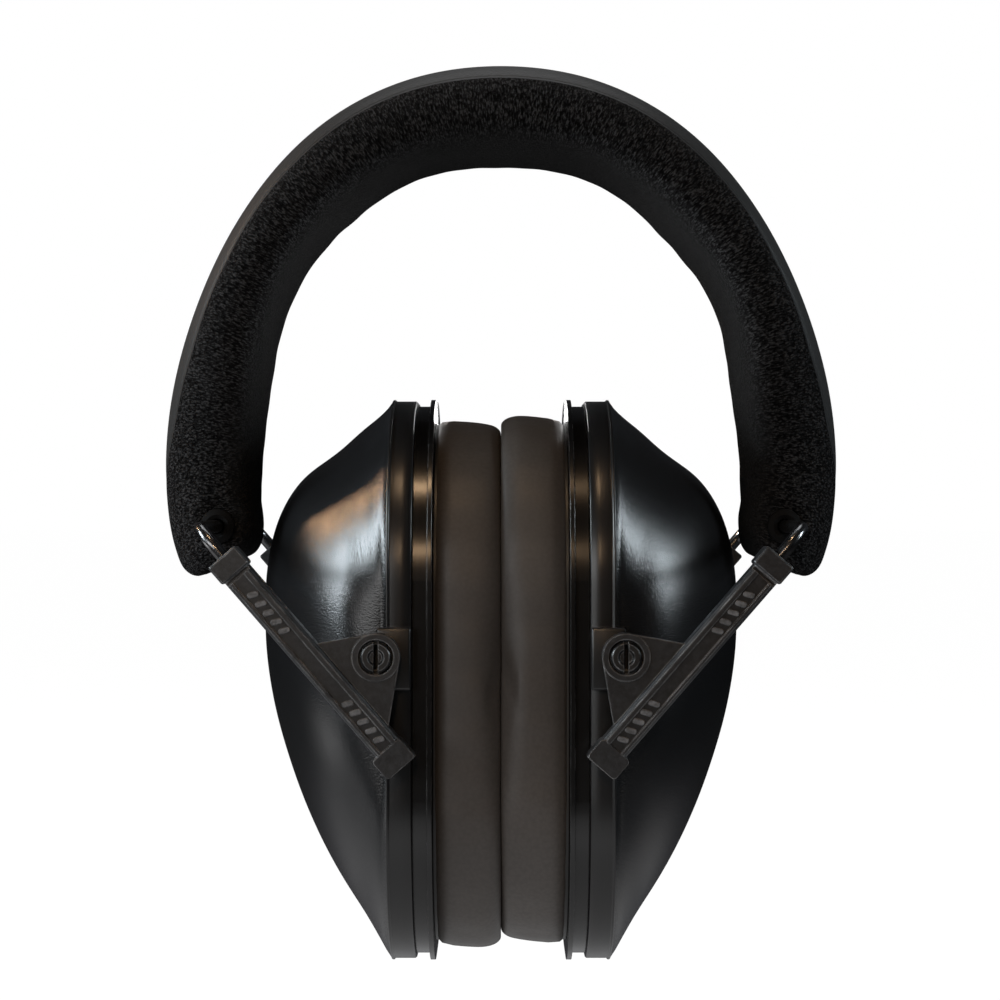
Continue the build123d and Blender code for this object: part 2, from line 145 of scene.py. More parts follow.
def even_loop(outline, count):
    """resample a closed polyline evenly, starting at its first point"""
    closed = np.vstack([outline, outline[:1]])
    length = path_length(closed)
    query = np.linspace(0, length[-1], count, endpoint=False)
    return np.array([np.interp(query, length, column) for column in closed.T]).T


def rounded_rect(width, height, radius, count):
    """evenly spaced points on a rounded rectangle round the origin"""
    angle = np.linspace(0, 2 * np.pi, 2880, endpoint=False)
    direction = np.c_[np.cos(angle), np.sin(angle)]
    core = np.array([width / 2 - radius, height / 2 - radius])
    lo, hi = np.zeros(len(angle)), np.full(len(angle), max(width, height))
    # bisect the signed distance along every direction
    for _ in range(36):
        mid = (lo + hi) / 2
        p = np.abs(direction * mid[:, None]) - core
        distance = np.linalg.norm(np.maximum(p, 0), axis=1) + np.minimum(p.max(1), 0) - radius
        lo = np.where(distance < 0, mid, lo)
        hi = np.where(distance < 0, hi, mid)
    reach = (lo + hi) / 2
    return even_loop(np.c_[np.cos(angle) * reach, np.sin(angle) * reach], count)


def shade(ob, *materials):
    ob.data.materials.clear()
    for material in materials:
        ob.data.materials.append(material)


def subdivide(ob):
    mod = ob.modifiers.new("sub", "SUBSURF")
    mod.levels = mod.render_levels = 1


def apply_all(ob):
    depsgraph = bpy.context.evaluated_depsgraph_get()
    mesh = bpy.data.meshes.new_from_object(ob.evaluated_get(depsgraph), depsgraph=depsgraph)
    old = ob.data
    ob.modifiers.clear()
    ob.data = mesh
    bpy.data.meshes.remove(old)


def get_co(ob):
    co = np.zeros(len(ob.data.vertices) * 3)
    ob.data.vertices.foreach_get("co", co)
    return co.reshape(-1, 3)


def set_co(ob, co):
    ob.data.vertices.foreach_set("co", co.astype(np.float32).ravel())
    ob.data.update()


def inflate(ob, pin, pressure, frames, limit, tension, bending):
    """padded fabric: cloth with air pressure inside, seams pinned, motion limited (mm)"""
    rest = get_co(ob)
    group = ob.vertex_groups.new(name="pin")
    for i in np.nonzero(pin > 0)[0]:
        group.add([int(i)], float(pin[i]), "REPLACE")
    mod = ob.modifiers.new("cloth", "CLOTH")
    cloth = mod.settings
    cloth.quality = 6
    cloth.mass = 0.3
    cloth.tension_stiffness = cloth.compression_stiffness = tension
    cloth.shear_stiffness = tension * 0.4
    cloth.bending_stiffness = bending
    cloth.use_pressure = True
    cloth.uniform_pressure_force = pressure
    cloth.vertex_group_mass = "pin"
    cloth.effector_weights.gravity = 0.0
    mod.collision_settings.use_collision = False
    mod.collision_settings.use_self_collision = False
    mod.point_cache.frame_start, mod.point_cache.frame_end = 1, frames
    scene = bpy.context.scene
    for f in range(1, frames + 1):
        scene.frame_set(f)
    moved = get_co(ob.evaluated_get(bpy.context.evaluated_depsgraph_get()))
    ob.modifiers.remove(mod)
    ob.vertex_groups.clear()
    scene.frame_set(1)
    shift = moved - rest
    shift[~np.isfinite(shift)] = 0
    size = np.linalg.norm(shift, axis=1)
    keep = np.where(size > limit * MM, limit * MM / np.maximum(size, 1e-12), 1.0)
    set_co(ob, rest + shift * keep[:, None])


# ---------------------------------------------------------------- node tools
def rgba(color):
    if isinstance(color, (int, float)):
        return (color, color, color, 1)
    return tuple(color) + (1,)


def scaled(color, factor):
    return tuple(channel * factor for channel in color)


class Nodes:
    """a cleared node tree; kinds are given without their "ShaderNode" prefix"""

    def __init__(self, owner, output):
        owner.use_nodes = True
        self.tree = owner.node_tree
        self.tree.nodes.clear()
        self.surface = self.node(output).inputs[0]

    def feed(self, socket, value):
        """link a socket, or set a plain value"""
        if isinstance(value, bpy.types.NodeSocket):
            self.tree.links.new(value, socket)
        else:
            socket.default_value = value

    def node(self, kind, inputs={}, **props):
        node = self.tree.nodes.new("ShaderNode" + kind)
        for key, value in props.items():
            setattr(node, key, value)
        for key, value in inputs.items():
            self.feed(node.inputs[key], value)
        return node

    def camera_switch(self, other, camera):
        """one shader for camera rays, the other for all the rest"""
        is_camera = self.node("LightPath").outputs["Is Camera Ray"]
        mix = self.node("MixShader", {0: is_camera, 1: other, 2: camera})
        self.feed(self.surface, mix.outputs[0])


class Material(Nodes):
    """a principled material with short calls for its texture nodes"""

    def __init__(self, name):
        self.material = bpy.data.materials.new(name)
        super().__init__(self.material, "OutputMaterial")
        self.bsdf = self.node("BsdfPrincipled")
        self.feed(self.surface, self.bsdf.outputs[0])

    def set(self, **inputs):
        for key, value in inputs.items():
            self.feed(self.bsdf.inputs[key.replace("_", " ")], value)

    def coord(self, scale=(1, 1, 1), attribute=None):
        """object coordinates, or a stored vector attribute"""
        if attribute:
            source = self.node("Attribute", attribute_name=attribute).outputs["Vector"]
        else:
            source = self.node("TexCoord").outputs["Object"]
        return self.node("Mapping", {"Vector": source, "Scale": scale}).outputs[0]

    def fac(self, attribute):
        return self.node("Attribute", attribute_name=attribute).outputs["Fac"]

    def noise(self, coords, scale, detail=3.0, rough=0.5, distortion=0.0):
        return self.node("TexNoise", {
            "Vector": coords, "Scale": scale, "Detail": detail,
            "Roughness": rough, "Distortion": distortion}).outputs[0]

    def voronoi(self, coords, scale):
        return self.node("TexVoronoi", {"Vector": coords, "Scale": scale},
                         feature="F1").outputs["Distance"]

    def soft_voronoi(self, coords, scale, smoothness):
        inputs = {"Vector": coords, "Scale": scale, "Smoothness": smoothness}
        return self.node("TexVoronoi", inputs, feature="SMOOTH_F1").outputs["Distance"]

    def ramp(self, value, *stops):
        """stops: (position, colour or grey)"""
        node = self.node("ValToRGB", {0: value})
        elements = node.color_ramp.elements
        for element, (position, color) in zip(elements, (stops[0], stops[-1])):
            element.position, element.color = position, rgba(color)
        for position, color in stops[1:-1]:
            elements.new(position).color = rgba(color)
        return node.outputs[0]

    def rise(self, value, low, high):
        """ramp from 0 at low to 1 at high"""
        return self.ramp(value, (low, 0.0), (high, 1.0))

    def fade(self, value, zero_at, one_at, interpolation="LINEAR"):
        return self.node("MapRange", {"Value": value, "From Min": zero_at, "From Max": one_at},
                         interpolation_type=interpolation).outputs[0]

    def math(self, operation, a, b=None, clamp=False):
        inputs = {0: a} if b is None else {0: a, 1: b}
        return self.node("Math", inputs, operation=operation, use_clamp=clamp).outputs[0]

    def add(self, a, b, clamp=False):
        return self.math("ADD", a, b, clamp)

    def sub(self, a, b):
        return self.math("SUBTRACT", a, b)

    def mul(self, a, b, clamp=False):
        return self.math("MULTIPLY", a, b, clamp)

    def mix(self, factor, a, b):
        a, b = (c if isinstance(c, bpy.types.NodeSocket) else rgba(c) for c in (a, b))
        # inputs 6 and 7 and output 2 are the colour sockets
        return self.node("Mix", {0: factor, 6: a, 7: b}, data_type="RGBA").outputs[2]

    def bump(self, height, strength, depth_mm, normal=None):
        inputs = {"Strength": strength, "Distance": depth_mm * MM, "Height": height}
        if normal is not None:
            inputs["Normal"] = normal
        return self.node("Bump", inputs).outputs[0]

    def bevel(self, radius_mm):
        return self.node("Bevel", {"Radius": radius_mm * MM}, samples=4).outputs[0]

    def edge_mask(self, bevel_normal):
        """0 on flat faces, rising at edges"""
        normal = self.node("NewGeometry").outputs["Normal"]
        dot = self.node("VectorMath", {0: bevel_normal, 1: normal}, operation="DOT_PRODUCT")
        return self.mul(self.sub(1.0, dot.outputs["Value"]), 6.0, clamp=True)


# ---------------------------------------------------------------- materials
def plastic(name, base, rough, pebble=None, edge_wear_and_highlight=0.25, wear_and_highlight_color=(0.09, 0.09, 0.095),
            cover=(0.42, 0.62), grain=0.15, specular=0.5, round_mm=0.22, rough_spread=0.08,
            crevice_shade=0.0, mottle=0.0):
    """moulded plastic. pebble: size and depth (mm) and strength of a cast texture;
    edge_wear_and_highlight and
    cover: lighter edges, partly rubbed wear and partly painted edge highlights, and the noise
    range they fill;
    crevice_shade: painted shade darkening the corners"""
    mat = Material(name)
    coords = mat.coord()
    # lighter edges: partly rubbed wear, partly painted edge highlights
    wear_and_highlight_mask = 0.0
    if edge_wear_and_highlight or not pebble:
        rounded = mat.bevel(round_mm)
        patches = mat.noise(coords, scale=210.0, detail=4.0, rough=0.65)
        wear_and_highlight_mask = mat.mul(mat.edge_mask(rounded), mat.rise(patches, *cover))
    wear_and_highlight_mask = mat.mul(wear_and_highlight_mask, edge_wear_and_highlight, clamp=True)
    blotches = mat.rise(mat.noise(coords, scale=28.0), low=0.3, high=0.7)
    color = mat.mix(blotches, scaled(base, 0.85), scaled(base, 1.2))
    if mottle:
        flecks = mat.noise(coords, scale=900.0, detail=4.0, rough=0.7)
        flecks = mat.mul(mat.rise(flecks, low=0.38, high=0.66), mottle)
        color = mat.mix(flecks, color, scaled(base, 3.6))
    # painted shade: corners and recesses darkened from the ambient occlusion
    if crevice_shade:
        open_air = mat.node("AmbientOcclusion", {"Distance": 1.0 * MM},
                            samples=6, only_local=True).outputs["AO"]
        corner_shade = mat.ramp(open_air, (0.45, 1.0), (0.95, 0.0))
        color = mat.mix(corner_shade, color, scaled(base, 1 - crevice_shade))
    smudges = mat.noise(coords, scale=160.0, detail=5.0, rough=0.6)
    roughness = mat.add(rough - rough_spread / 2, mat.mul(smudges, rough_spread))
    if pebble:
        cells = mat.voronoi(coords, scale=1000.0 / pebble["size"])
        fine = mat.noise(coords, scale=1500.0 / pebble["size"], detail=2.0)
        height = mat.add(mat.mul(cells, -0.6), mat.mul(fine, 0.8))
        normal = mat.bump(height, pebble["strength"], pebble["depth"])
    else:
        scratches = mat.noise(mat.coord((900, 900, 260)), scale=1.0, detail=4.0, rough=0.6)
        height = mat.add(mat.noise(coords, scale=2600.0, detail=2.0), mat.mul(scratches, 0.5))
        normal = mat.bump(height, grain, depth_mm=0.02, normal=rounded)
    mat.set(Base_Color=mat.mix(wear_and_highlight_mask, color, wear_and_highlight_color),
            Roughness=mat.add(roughness, mat.mul(wear_and_highlight_mask, 0.15), clamp=True),
            Normal=normal, Specular_IOR_Level=specular)
    return mat.material


def metal(name, base, rough, stretch=(400, 400, 40)):
    """metal with a grain drawn out along the axis of the smallest stretch"""
    mat = Material(name)
    streaks = mat.noise(mat.coord(stretch), scale=6.0, detail=5.0, rough=0.65)
    stains = mat.rise(mat.noise(mat.coord(), scale=120.0, detail=4.0), low=0.45, high=0.75)
    mat.set(Base_Color=mat.mix(stains, base, scaled(base, 0.72)),
            Metallic=1.0,
            Roughness=mat.add(rough - 0.06, mat.mul(streaks, 0.14)),
            Normal=mat.bump(streaks, strength=0.25, depth_mm=0.02, normal=mat.bevel(0.15)))
    return mat.material


def pile_knit(name):
    """short-pile knit with a smooth skin over the crest.
    pad_sv holds millimetres along and round the band, pad_q the distance from the skin edge,
    pad_in is 1 on the inner face of the arch"""
    mat = Material(name)
    band = mat.coord(attribute="pad_sv")
    warp = mat.noise(band, scale=0.5, detail=2.0)
    # rows of loops across the band, broken up by pile noise
    rows = mat.noise(mat.coord((3.1, 0.95, 1.0), "pad_sv"), scale=1.0, detail=2.0,
                     distortion=0.5)
    pile = mat.noise(mat.coord(), scale=2600.0, rough=0.6)
    clumps = mat.noise(mat.coord(), scale=1150.0, rough=0.6)
    loops = mat.soft_voronoi(mat.coord((2.9, 1.3, 1.0), "pad_sv"), scale=1.0, smoothness=0.4)
    height = mat.add(mat.mul(rows, 1.05), mat.mul(pile, 0.6))
    height = mat.add(height, mat.mul(clumps, 0.45))
    height = mat.sub(height, mat.mul(loops, 0.55))
    tone = mat.add(mat.mul(height, 0.85), mat.mul(warp, 0.18))
    knit = mat.ramp(tone, (0.48, (0.0002, 0.0002, 0.0002)), (0.62, (0.0015, 0.0015, 0.0016)),
                    (0.78, (0.010, 0.010, 0.0103)), (0.95, (0.034, 0.034, 0.035)))
    # the skin: fine leather grain
    coords = mat.coord()
    cells = mat.soft_voronoi(coords, scale=1400.0, smoothness=0.7)
    blotches = mat.rise(mat.noise(coords, scale=26.0), low=0.3, high=0.7)
    skin = mat.mix(blotches, (0.0105, 0.0106, 0.0108), (0.0155, 0.0157, 0.016))
    waver = mat.sub(mat.noise(band, scale=1.3, detail=2.0), 0.5)
    edge = mat.add(mat.fac("pad_q"), mat.mul(waver, 0.25))
    on_skin = mat.fade(edge, zero_at=0.10, one_at=-0.12)
    # dark stitch line in the seam
    from_seam = mat.math("ABSOLUTE", mat.add(edge, 0.45))
    stitch = mat.fade(from_seam, zero_at=0.28, one_at=0.12)
    # plainer nap on the inner face
    nap = mat.rise(mat.noise(coords, scale=1500.0, rough=0.6), low=0.35, high=0.65)
    nap = mat.mix(nap, (0.006, 0.006, 0.0061), (0.014, 0.014, 0.0142))
    knit = mat.mix(mat.mul(mat.fac("pad_in"), 0.8), knit, nap)
    color = mat.mix(on_skin, knit, skin)
    color = mat.mix(mat.mul(stitch, 0.55), color, (0.003, 0.003, 0.003))
    # relief: knit off the skin, shallow grain on it, a groove at the stitches
    relief = mat.mul(height, mat.sub(1.0, mat.mul(on_skin, 0.95)))
    relief = mat.add(relief, mat.mul(mat.mul(cells, -0.12), on_skin))
    relief = mat.sub(relief, mat.mul(stitch, 0.12))
    mat.set(Base_Color=color,
            Roughness=mat.sub(0.93, mat.mul(on_skin, 0.38)),
            Specular_IOR_Level=mat.add(0.05, mat.mul(on_skin, 0.25)),
            Sheen_Weight=0.012, Sheen_Roughness=0.4, Sheen_Tint=(0.8, 0.8, 0.8, 1),
            Normal=mat.bump(relief, strength=0.9, depth_mm=0.6))
    return mat.material


def leather(name, base, rough, grain, crease, specular):
    mat = Material(name)
    coords = mat.coord()
    cells = mat.soft_voronoi(coords, scale=1500.0, smoothness=0.7)
    fine = mat.noise(coords, scale=3200.0)
    wrinkles = mat.noise(mat.coord((60, 60, 22)), scale=1.0, detail=4.0, rough=0.55,
                         distortion=0.8)
    blotches = mat.rise(mat.noise(coords, scale=22.0), low=0.35, high=0.7)
    color = mat.mix(blotches, scaled(base, 0.86), scaled(base, 1.35))
    cell_tint = mat.mul(mat.rise(cells, low=0.25, high=0.8), 0.35)
    smudges = mat.noise(coords, scale=300.0, detail=4.0, rough=0.6)
    creased = mat.bump(wrinkles, strength=0.12 * crease, depth_mm=1.2)
    height = mat.sub(mat.mul(fine, 0.4), cells)
    mat.set(Base_Color=mat.mix(cell_tint, color, scaled(base, 0.6)),
            Roughness=mat.add(rough - 0.06, mat.mul(smudges, 0.13)),
            Specular_IOR_Level=specular,
            Normal=mat.bump(height, grain, depth_mm=0.06, normal=creased))
    return mat.material


def foam(name, base, cell_mm):
    mat = Material(name)
    coords = mat.coord()
    cells = mat.voronoi(coords, scale=1000.0 / cell_mm)
    fine = mat.noise(coords, scale=1800.0)
    mat.set(Base_Color=mat.ramp(cells, (0.1, scaled(base, 0.35)), (0.55, base),
                                (0.9, scaled(base, 1.3))),
            Roughness=0.95, Specular_IOR_Level=0.2,
            Normal=mat.bump(mat.add(cells, mat.mul(fine, 0.3)), strength=0.8, depth_mm=0.4))
    return mat.material


SHELL_ABS = plastic(
    "shell_pebbled_abs", base=(0.0065, 0.0068, 0.0075), rough=0.26, edge_wear_and_highlight=0.0,
    pebble={"size": 0.36, "strength": 1.0, "depth": 0.038}, rough_spread=0.03)
RIM_ABS = plastic(
    "rim_satin_abs", base=(0.0060, 0.0060, 0.0064), rough=0.30, edge_wear_and_highlight=0.35,
    pebble={"size": 0.20, "strength": 0.25, "depth": 0.03},
    wear_and_highlight_color=(0.13, 0.13, 0.135), round_mm=0.25)
BASE_ABS = plastic(
    "baseplate_gloss_abs", base=(0.003, 0.003, 0.0032), rough=0.24, edge_wear_and_highlight=0.35,
    wear_and_highlight_color=(0.12, 0.12, 0.125), grain=0.05, round_mm=0.3, rough_spread=0.06)
ARM_NYLON = plastic(
    "arm_satin_nylon", base=(0.0060, 0.0063, 0.0071), rough=0.38, edge_wear_and_highlight=1.0,
    wear_and_highlight_color=(0.24, 0.24, 0.245), grain=1.0, round_mm=0.36, crevice_shade=0.8, mottle=0.8,
    cover=(0.36, 0.6))
STUD_NYLON = plastic(
    "stud_nylon", base=(0.0045, 0.0047, 0.0050), rough=0.36, edge_wear_and_highlight=1.0,
    wear_and_highlight_color=(0.32, 0.325, 0.335), grain=0.3, round_mm=0.3, crevice_shade=0.85)
RIB_NYLON = plastic(
    "rib_rubbed_nylon", base=(0.056, 0.057, 0.060), rough=0.42, edge_wear_and_highlight=0.0, grain=1.0,
    round_mm=0.15, mottle=0.6)
INNER_NYLON = plastic("inner_nylon", base=(0.012, 0.012, 0.012), rough=0.42, edge_wear_and_highlight=0.2, grain=0.4)
GLIDE_ACETAL = plastic(
    "glide_acetal", base=(0.55, 0.54, 0.5), rough=0.38, edge_wear_and_highlight=0.1,
    wear_and_highlight_color=(0.7, 0.7, 0.66), grain=0.3)
KNIT = pile_knit("black_pile_knit")
LEATHERETTE = leather("cushion_leatherette", base=(0.056, 0.0500, 0.0458), rough=0.47,
                      grain=0.28, crease=0.5, specular=0.4)
WIRE_STEEL = metal("drawn_steel_wire", base=(0.15, 0.15, 0.153), rough=0.22)
STRIP_STEEL = metal("spring_steel_strip", base=(0.42, 0.43, 0.45), rough=0.3,
                    stretch=(60, 500, 60))
RIVET_ZINC = metal("rivet_zinc", base=(0.6, 0.6, 0.62), rough=0.33)
EYELET_BLACK = plastic(
    "blackened_eyelet", base=(0.002, 0.002, 0.0021), rough=0.75, edge_wear_and_highlight=0.2,
    wear_and_highlight_color=(0.012, 0.012, 0.0125), grain=0.4, specular=0.12)
GREY_FOAM = foam("cushion_foam", base=(0.32, 0.32, 0.33), cell_mm=0.7)
DARK_FOAM = foam("acoustic_foam", base=(0.055, 0.055, 0.06), cell_mm=1.1)

CAD_MATERIALS = {
    "hinge_knuckle": INNER_NYLON, "knuckle_rivets": RIVET_ZINC, "eyelets": EYELET_BLACK,
    "yoke_wire": WIRE_STEEL, "wire_glides": GLIDE_ACETAL, "front_arm": ARM_NYLON,
    "rear_arm": ARM_NYLON, "pivot_studs": STUD_NYLON, "baseplate": BASE_ABS,
    "cushion_ring": INNER_NYLON, "shell": SHELL_ABS,
}
for side, _ in SIDES:
    for part, material in CAD_MATERIALS.items():
        shade(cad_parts[f"{side}_{part}"], material)

# ---------------------------------------------------------------- headband
# crest x, z; inner face x, z; half width, from the crown down one side
BAND = np.array([
    (0.00, 173.50, 0.00, 156.40, 23.0), (15.86, 171.48, 11.17, 155.44, 23.2),
    (30.48, 165.13, 21.87, 151.50, 23.8), (39.95, 157.80, 29.10, 146.20, 24.3),
    (50.00, 145.42, 37.63, 137.40, 24.5), (58.26, 129.45, 44.62, 123.90, 23.2),
    (64.19, 108.30, 47.46, 105.52, 18.6), (65.20, 96.40, 48.20, 96.00, 15.5),
    (64.90, 88.60, 48.40, 89.90, 15.1), (63.80, 81.20, 48.20, 85.00, 15.0),
    (61.90, 75.30, 48.00, 80.60, 15.0)])
BAND_S = path_length((BAND[:, 0:2] + BAND[:, 2:4]) / 2)    # length from the crown
BAND_END = BAND_S[-1]
# both sides in one spline keep the arch smooth at the crown
FULL_BAND_S = np.r_[-BAND_S[:0:-1], BAND_S]
FULL_BAND = np.vstack([BAND[:0:-1] * (-1, 1, -1, 1, 1), BAND])

COVER_REACH = BAND_END + 2.4    # length of each side, from the crown
COVER_INSET = 0.35              # room left for the cloth to swell
COVER_POINTS = 96               # round one section
CORE_REACH = BAND_END - 18.0
END_RADIUS = 3.8                # rounding of the ends
END_STEPS = 6
WAIST = 6.6                     # widest line of the section, above the inner face
SKIN_END = 104.0                # the top skin stops here, from the crown


def band_at(s):
    """inner point, outward normal, thickness and half width at signed length s"""
    station = spline(FULL_BAND_S, FULL_BAND, np.atleast_1d(s))[0]
    inner, half_width = station[2:4], station[4]
    across = station[0:2] - inner
    thickness = np.linalg.norm(across)
    normal = across / thickness
    # the crest of the soft cover sits a little inside the outline at the crown
    s = np.abs(s)
    thickness = thickness - 0.75 / (1 + np.exp((s - 78.0) / 9.0))
    # the filled cover stands out past the frame on both faces
    grow_in = 1.0 - 0.05 * np.exp(-(s / 30.0) ** 2)
    grow_out = 0.55 + 0.3 / (1 + np.exp(-(s - 88.0) / 6.0))
    return inner - normal * grow_in, normal, thickness + grow_in + grow_out, half_width


def pad_section(thickness, half_width, inset, count):
    """(across, height) outline made of superellipse arcs, domed above and flat below"""
    angle = np.linspace(0, 2 * np.pi, 1440, endpoint=False)
    cos, sin = np.cos(angle), np.sin(angle)
    half_width = half_width - inset
    above, below = thickness - inset - WAIST, WAIST - inset
    power = np.where(sin >= 0, 2 / 2.35, 2 / 4.2)
    across = half_width * np.sign(cos) * np.abs(cos) ** power
    height = np.where(sin >= 0, WAIST + above * np.abs(sin) ** (2 / 2.05),
                      WAIST - below * np.abs(sin) ** (2 / 3.4))
    return even_loop(np.c_[across, height], count)


def band_ring(station, section):
    """section points (across, height) placed at a band station"""
    inner, normal = station[:2]
    return np.c_[inner[0] + normal[0] * section[:, 1], section[:, 0],
                 inner[1] + normal[1] * section[:, 1]]


def pad_ring(s, fullness, inset, count):
    station = band_at(s)
    thickness, half_width = station[2:]
    section = pad_section(thickness, half_width, inset, count)
    # rounding of the ends takes the same amount off every side
    if fullness < 1.0:
        centre = np.array([0.0, thickness * 0.47])
        offset = section - centre
        size = np.linalg.norm(offset, axis=1)[:, None]
        cut = (1 - fullness) * END_RADIUS
        section = centre + offset * (1 - np.minimum(cut / size, 0.97))
    return band_ring(station, section)


def pad_rings(reach, half_steps, inset, count):
    """rings from the left end to the right end, and their lengths from the crown"""
    straight = reach - END_RADIUS
    angles = np.linspace(np.pi / 2, 0, END_STEPS + 1)[:-1]
    end = [(straight + END_RADIUS * np.sin(a), np.cos(a)) for a in angles]
    middle = [(s, 1.0) for s in np.linspace(-straight, straight, 2 * half_steps + 1)]
    stations = [(-s, fullness) for s, fullness in end] + middle + end[::-1]
    return ([pad_ring(s, fullness, inset, count) for s, fullness in stations],
            np.array([s for s, _ in stations]))


def skin_edge(s, half_width):
    """half width of the top skin at length s; it narrows and rounds off near the ends"""
    s = np.abs(s)
    share = np.interp(s, [0, 30, 62, 80, 92, 99], [0.83, 0.85, 0.86, 0.78, 0.66, 0.58])
    tip = np.clip((s - 92.0) / (SKIN_END - 92.0), 0, 1.2)
    return half_width * share * np.sqrt(np.clip(1 - tip ** 2, 0, 1))


def add_attribute(ob, name, kind, field, values):
    attribute = ob.data.attributes.new(name, kind, "POINT")
    attribute.data.foreach_set(field, values.astype(np.float32).ravel())


def split_sides(ob, part, slot, *replaced):
    """cut a whole band at x = 0; each half is named for its side and hides that side's CAD parts
    """
    for side, sign in SIDES:
        mesh = ob.data.copy()
        half = link_object(f"{side}_{part}", mesh)
        bm = bmesh.new()
        bm.from_mesh(mesh)
        other = [f for f in bm.faces if f.calc_center_median().x * sign < 0]
        bmesh.ops.delete(bm, geom=other, context="FACES")
        bm.to_mesh(mesh)
        bm.free()
        mesh.update()
        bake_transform(half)
        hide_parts(*(name.format(side=side) for name in replaced))
    bpy.data.objects.remove(ob)


def cover_relief(co, s, around, height, skin_distance):
    """push along the normals (mm): seam groove, folds and eyelet swellings"""
    relief = -0.14 * np.exp(-(skin_distance / 1.0) ** 2) * (np.abs(s) < SKIN_END)
    # soft folds on the inner side, strongest at the shoulders
    below = np.clip((WAIST - height) / WAIST, 0, 1)
    shoulder = np.exp(-((np.abs(s) - 52) / 20.0) ** 2)
    fold = (np.sin(s * 0.17 + 0.7 * np.sin(s * 0.07)) * 0.32
            + np.sin(s * 0.62 + around * 0.14 + 1.3) * 0.10)
    relief += below * shoulder * fold
    relief += below * (0.06 * np.sin(s * 0.31 + around * 0.09)
                       + 0.04 * np.sin(s * 0.83 - around * 0.21 + 2))
    # a soft swelling round each wire eyelet, front and rear, dimpled in its middle
    x, y, z = co.T / MM
    for sign in (-1, 1):
        radius = np.sqrt((x - sign * PIVOT_X) ** 2 + (z - PIVOT_Z - 1.0) ** 2)
        swelling = (0.75 * np.exp(-((radius - 4.9) / 1.5) ** 2)
                    - 0.35 * np.exp(-(radius / 2.6) ** 2))
        relief += (np.abs(y) > 11.0) * swelling
    return relief


def build_cover():
    """one cloth: smooth skin over the crest, pile knit everywhere else"""
    rings, ring_s = pad_rings(COVER_REACH, half_steps=92, inset=COVER_INSET,
                              count=COVER_POINTS)
    cover = rings_mesh("pad_full", rings)
    # a typical section gives each vertex its place round the band
    half_width = 20.0
    section = pad_section(17.0, half_width, COVER_INSET, COVER_POINTS)
    s = np.repeat(ring_s, COVER_POINTS)
    around = np.tile(path_length(section), len(rings))
    height = np.tile(section[:, 1], len(rings))
    count = len(s)      # the two end centres follow the ring vertices

    # pin the edges of the top, and nearly pin the ends
    on_top = (section[:, 1] > WAIST) & (np.abs(section[:, 0]) < half_width * 0.90)
    top = np.nonzero(on_top)[0]
    pin = np.zeros(count + 2)
    point = np.tile(np.arange(COVER_POINTS), len(rings))
    pin[:count][np.isin(point, (top.min(), top.max()))] = 1.0
    pin[:count][np.abs(s) > BAND_END - 6.0] = 0.9
    pin[count:] = 1.0
    inflate(cover, pin, pressure=3.2, frames=16, limit=1.3, tension=12, bending=0.8)

    # signed distance from the edge of the top skin: negative on the skin
    widths = np.repeat([band_at(x)[3] for x in ring_s], COVER_POINTS)
    across = np.abs(np.concatenate([ring[:, 1] for ring in rings]))
    distance = across - skin_edge(s, widths) + np.clip(WAIST - height, 0, 20)
    distance = np.where(height < WAIST, np.maximum(distance, 1.5), distance)
    past_end = np.abs(s) - SKIN_END
    distance = np.where(past_end > 0, np.maximum(distance, 0) + past_end * 0.8, distance)

    co = get_co(cover)
    relief = cover_relief(co[:count], s, around, height, distance)
    relief = np.r_[relief, 0, 0]
    set_co(cover, co + vertex_normals(cover) * (relief * MM)[:, None])

    # attributes for the knit material
    add_attribute(cover, "pad_q", "FLOAT", "value", np.r_[distance, 8.0, 8.0])
    add_attribute(cover, "pad_in", "FLOAT", "value",
                  np.r_[np.clip((3.4 - height) / 2.4, 0, 1), 0, 0])
    add_attribute(cover, "pad_sv", "FLOAT_VECTOR", "vector",
                  np.c_[np.r_[s, -BAND_END, BAND_END], np.r_[around, 0, 0],
                        np.zeros(count + 2)])
    shade(cover, KNIT)
    subdivide(cover)
    apply_all(cover)
    split_sides(cover, "pad_cover", "headband_cover",
                "headband_cover_{side}", "headband_cover_crown")


def build_band_foam():
    rings, _ = pad_rings(CORE_REACH, half_steps=30, inset=2.2, count=32)
    core = rings_mesh("core", rings)
    shade(core, GREY_FOAM)
    split_sides(core, "band_foam", "foam_grey", "headband_foam")


def build_spring_strip():
    """steel strip in the middle of the pad's thickness"""
    outline = rounded_rect(width=20.0, height=0.8, radius=0.3, count=24)
    rings = []
    for s in np.linspace(-105.0, 105.0, 141):
        station = band_at(s)
        rings.append(band_ring(station, outline + (0, station[2] / 2)))
    steel = rings_mesh("strip", rings)
    shade(steel, STRIP_STEEL)
    split_sides(steel, "spring_strip", "spring_steel", "band_spring")


build_cover()
build_band_foam()
build_spring_strip()

# ---------------------------------------------------------------- arms
ARM_ANGLE = math.atan2(-0.755, 0.656)       # direction of the arm from its pivot
ARM_COS, ARM_SIN = math.cos(ARM_ANGLE), math.sin(ARM_ANGLE)
RIB_TILT = math.radians(-25)
RIB_PITCH = 2.1
RIB_PLACES = [first + RIB_PITCH * k for first in (15.5, 41.0) for k in range(5)]
RIB_LAYERS = ((0.86, 2.06, 2.45), (0.86, 2.06, 2.62), (0.70, 1.90, 2.66))  # width, length, height
RIB_POINTS = 20


